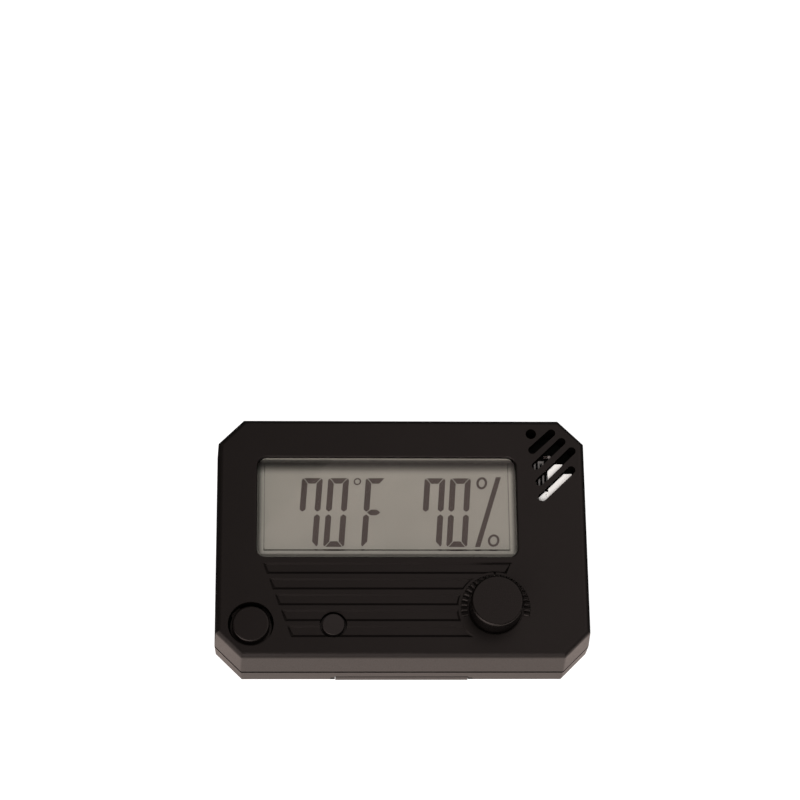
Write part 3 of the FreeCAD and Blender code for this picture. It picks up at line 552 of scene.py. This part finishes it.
def emission(nodes, colour):
    """An emission shader of strength 1."""
    node = nodes.new("ShaderNodeEmission")
    node.inputs["Color"].default_value = (*colour, 1)
    node.inputs["Strength"].default_value = 1.0
    return node


def mix_shaders(nodes, links, factor, first, second):
    """The first shader where factor is 0, and the second where it is 1."""
    mix = nodes.new("ShaderNodeMixShader")
    links.new(factor, mix.inputs["Fac"])
    links.new(first.outputs[0], mix.inputs[1])
    links.new(second.outputs[0], mix.inputs[2])
    return mix


def floor_material():
    """A pale floor, clear from below. The glossy black case mirrors it brightly only in front
    of the object."""
    material, nodes, links = new_material("floor_pale")
    seen = nodes["Principled BSDF"]
    seen.inputs["Base Color"].default_value = (*FLOOR_COLOUR, 1)
    seen.inputs["Roughness"].default_value = 1.0
    seen.inputs["Specular IOR Level"].default_value = 0.0
    seen.inputs["Emission Color"].default_value = (1, 1, 1, 1)
    seen.inputs["Emission Strength"].default_value = FLOOR_GLOW
    x, y, _ = parts_of(nodes, links, coordinates(nodes))
    in_front = stepped_from(nodes, links, y, CASE_LOW.y, 1, FRONT_FLOOR_EDGE)
    front_gloss = emission(nodes, FRONT_GLOSS)
    strength = stepped_from(nodes, links, magnitude(nodes, links, x), CASE_HIGH.x, 1,
                            WIDE_FLOOR_EDGE, 1.0, WIDE_FLOOR_STRENGTH)
    links.new(strength, front_gloss.inputs["Strength"])
    mirrored = mix_shaders(nodes, links, in_front, emission(nodes, SIDE_GLOSS), front_gloss)
    path = nodes.new("ShaderNodeLightPath")
    top_side = mix_shaders(nodes, links, path.outputs["Is Glossy Ray"], seen, mirrored)
    side = nodes.new("ShaderNodeNewGeometry")
    surface = mix_shaders(nodes, links, side.outputs["Backfacing"], top_side,
                          nodes.new("ShaderNodeBsdfTransparent"))
    links.new(surface.outputs[0], nodes["Material Output"].inputs["Surface"])
    return material


def make_floor():
    """One large square under the object."""
    mesh = bpy.data.meshes.new("floor")
    corners = [(-1, -1), (1, -1), (1, 1), (-1, 1)]
    mesh.from_pydata([(x * FLOOR_HALF, y * FLOOR_HALF, FLOOR_Z) for x, y in corners], [],
                     [(0, 1, 2, 3)])
    mesh.materials.append(floor_material())
    floor = bpy.data.objects.new("floor", mesh)
    bpy.context.scene.collection.objects.link(floor)


def direction_to(azimuth, elevation):
    """The direction of a light or a camera. Azimuth 0 is in front, at -Y, and 90 on the right."""
    a, e = math.radians(azimuth), math.radians(elevation)
    return Vector((math.sin(a) * math.cos(e), -math.cos(a) * math.cos(e), math.sin(e)))


def make_world():
    """White behind the object. What it mirrors is brightest in front on the left, and fades
    from overhead towards the horizon."""
    world = bpy.data.worlds.new("studio")
    world.use_nodes = True
    nodes, links = world.node_tree.nodes, world.node_tree.links
    seen = nodes["Background"]
    seen.inputs["Color"].default_value = (1, 1, 1, 1)
    seen.inputs["Strength"].default_value = 1.0
    direction = nodes.new("ShaderNodeTexCoord").outputs["Generated"]
    x, _, z = parts_of(nodes, links, direction)
    sideways = stepped(nodes, links, x, *SIDEWAYS_SPAN, *OVERHEAD_LIGHT)
    height = stepped(nodes, links, z, *HEIGHT_SPAN, HORIZON_LIGHT, 1.0)
    toward = nodes.new("ShaderNodeVectorMath")
    toward.operation = "DOT_PRODUCT"
    toward.inputs[1].default_value = direction_to(FRONT_LIGHT_AZIMUTH, FRONT_LIGHT_ELEVATION)
    links.new(direction, toward.inputs[0])
    front = stepped(nodes, links, toward.outputs["Value"], *FRONT_LIGHT_SPREAD, 0.0, FRONT_LIGHT)
    strength = combined(nodes, links, "ADD", front,
                        combined(nodes, links, "MULTIPLY", sideways, height))
    lit = nodes.new("ShaderNodeBackground")
    lit.inputs["Color"].default_value = (*MIRRORED_TINT, 1)
    links.new(strength, lit.inputs["Strength"])
    path = nodes.new("ShaderNodeLightPath")
    surface = mix_shaders(nodes, links, path.outputs["Is Camera Ray"], lit, seen)
    links.new(surface.outputs[0], nodes["World Output"].inputs["Surface"])
    bpy.context.scene.world = world


def area_light(name, azimuth, elevation, distance, size, power, mirrored=False):
    """A lamp aimed at the face. One that is mirrored makes nothing but reflections, and the
    others make none."""
    away = direction_to(azimuth, elevation)
    data = bpy.data.lights.new(name, "AREA")
    data.shape = "RECTANGLE"
    data.size, data.size_y = size
    data.energy = power
    lamp = bpy.data.objects.new(name, data)
    lamp.location = Vector((0, 0, FACE_Z)) + away * distance
    lamp.rotation_euler = away.to_track_quat("Z", "Y").to_euler()
    lamp.visible_camera = False
    lamp.visible_transmission = False
    lamp.visible_glossy = mirrored
    lamp.visible_diffuse = not mirrored
    if mirrored:
        data.color = MIRRORED_TINT
    bpy.context.scene.collection.objects.link(lamp)


def make_lights():
    area_light("back_lamp", azimuth=180, elevation=45, distance=1.2, size=(0.4, 0.2), power=4.2)
    area_light("front_lamp", azimuth=-12, elevation=68, distance=1.2, size=(0.5, 0.5), power=12.5)
    area_light("sheen_lamp", azimuth=130, elevation=63, distance=0.34, size=(0.24, 0.24),
               power=0.07, mirrored=True)


def make_camera():
    back = direction_to(CAMERA_AZIMUTH, CAMERA_ELEVATION)
    right = (-back).cross(Vector((0, 0, 1))).normalized()
    up = right.cross(-back)
    basis = Matrix((right, up, back)).transposed()
    turn = Matrix.Rotation(math.radians(CAMERA_ROLL), 3, "Z")
    data = bpy.data.cameras.new("camera")
    data.sensor_width = SENSOR_MM
    data.lens = FOCAL_MM
    data.clip_start, data.clip_end = CLIP_NEAR, CLIP_FAR
    camera = bpy.data.objects.new("camera", data)
    camera.location = CAMERA_TARGET + back * CAMERA_DISTANCE
    camera.rotation_euler = (basis @ turn).to_euler()
    bpy.context.scene.collection.objects.link(camera)
    bpy.context.scene.camera = camera


dress_cad_nodes()
make_display()
make_floor()
make_world()
make_lights()
make_camera()
bpy.context.scene.view_settings.view_transform = "Standard"
